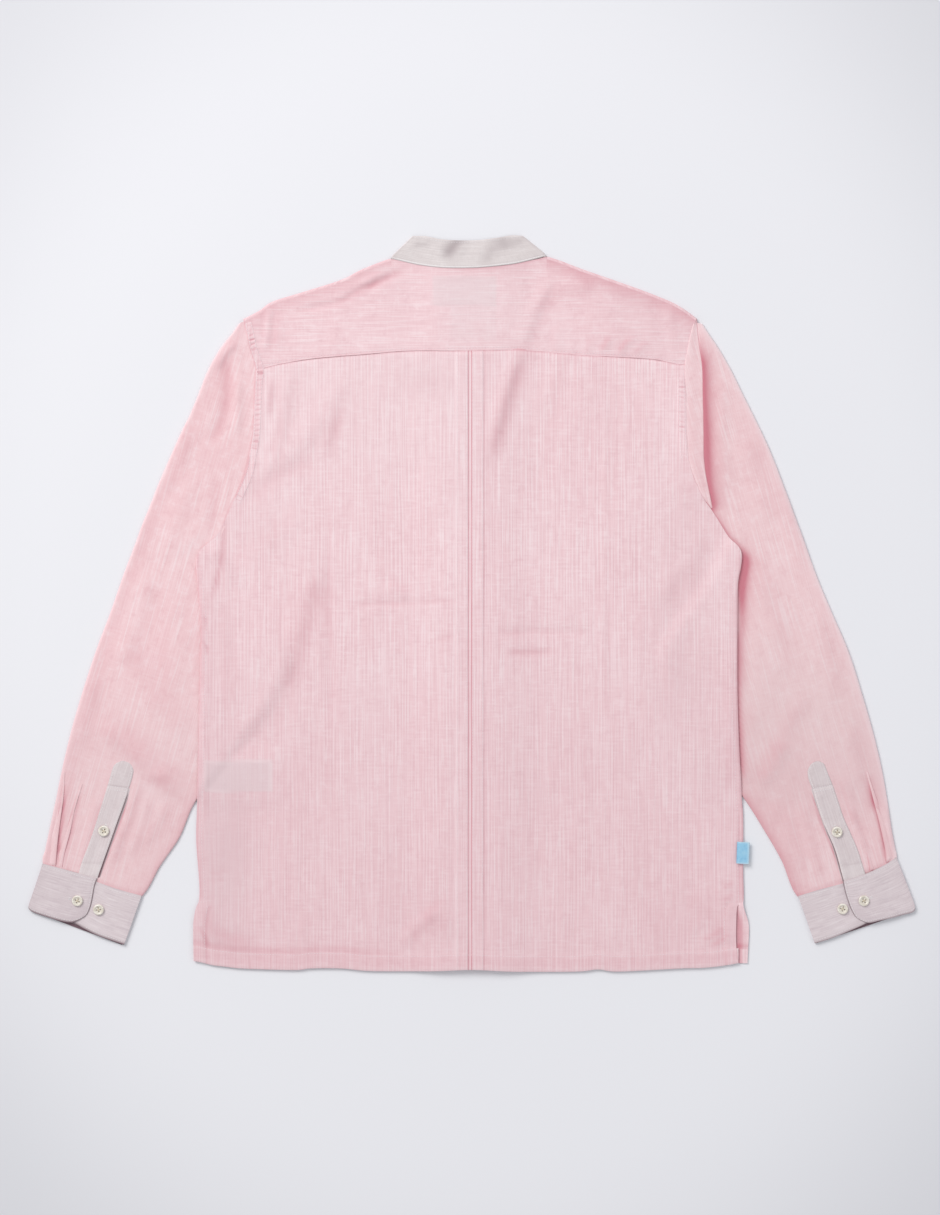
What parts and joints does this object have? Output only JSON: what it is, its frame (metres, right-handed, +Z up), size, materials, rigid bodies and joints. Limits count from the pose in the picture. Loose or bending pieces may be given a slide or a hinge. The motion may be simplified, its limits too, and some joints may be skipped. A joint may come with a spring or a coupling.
{
  "type": "guayabera shirt",
  "caption": "Long-sleeved guayabera shirt with a band collar, yoke, centre-back tucks and buttoned cuffs, laid flat face down.",
  "frame": {"origin": "middle of the laid shirt's outline, on the surface that it lies on", "axes": "+X across the shirt to the wearer's right, +Y from the hem to the collar, +Z up from the surface, out of the shirt's back"},
  "size_m": [0.9302, 0.7742, 0.008],
  "materials": {
    "cloth": "pale pink slub cotton, matt",
    "trim": "pale lavender grey slub cotton, matt",
    "tower": "warm grey cotton, matt",
    "button": "ivory, softly polished",
    "tab": "sky blue woven tape, blank",
    "label": "white satin tape, blank"
  },
  "bodies": {
    "root": {"back": "cloth", "yoke": "cloth", "front_left": "cloth", "front_right": "cloth", "front_placket": "cloth", "sleeve_left": "cloth", "sleeve_right": "cloth", "collar_band": "trim", "cuff_left": "trim", "cuff_right": "trim", "sleeve_placket_left": "tower", "sleeve_placket_right": "tower", "button_cuff_left_1": "button", "button_cuff_left_2": "button", "button_cuff_right_1": "button", "button_cuff_right_2": "button", "button_sleeve_left": "button", "button_sleeve_right": "button", "button_front_1": "button", "button_front_2": "button", "button_front_3": "button", "button_front_4": "button", "button_front_5": "button", "button_front_6": "button", "button_collar": "button", "side_tab": "tab", "care_label": "label", "neck_label": "label"}
  },
  "joints": []
}
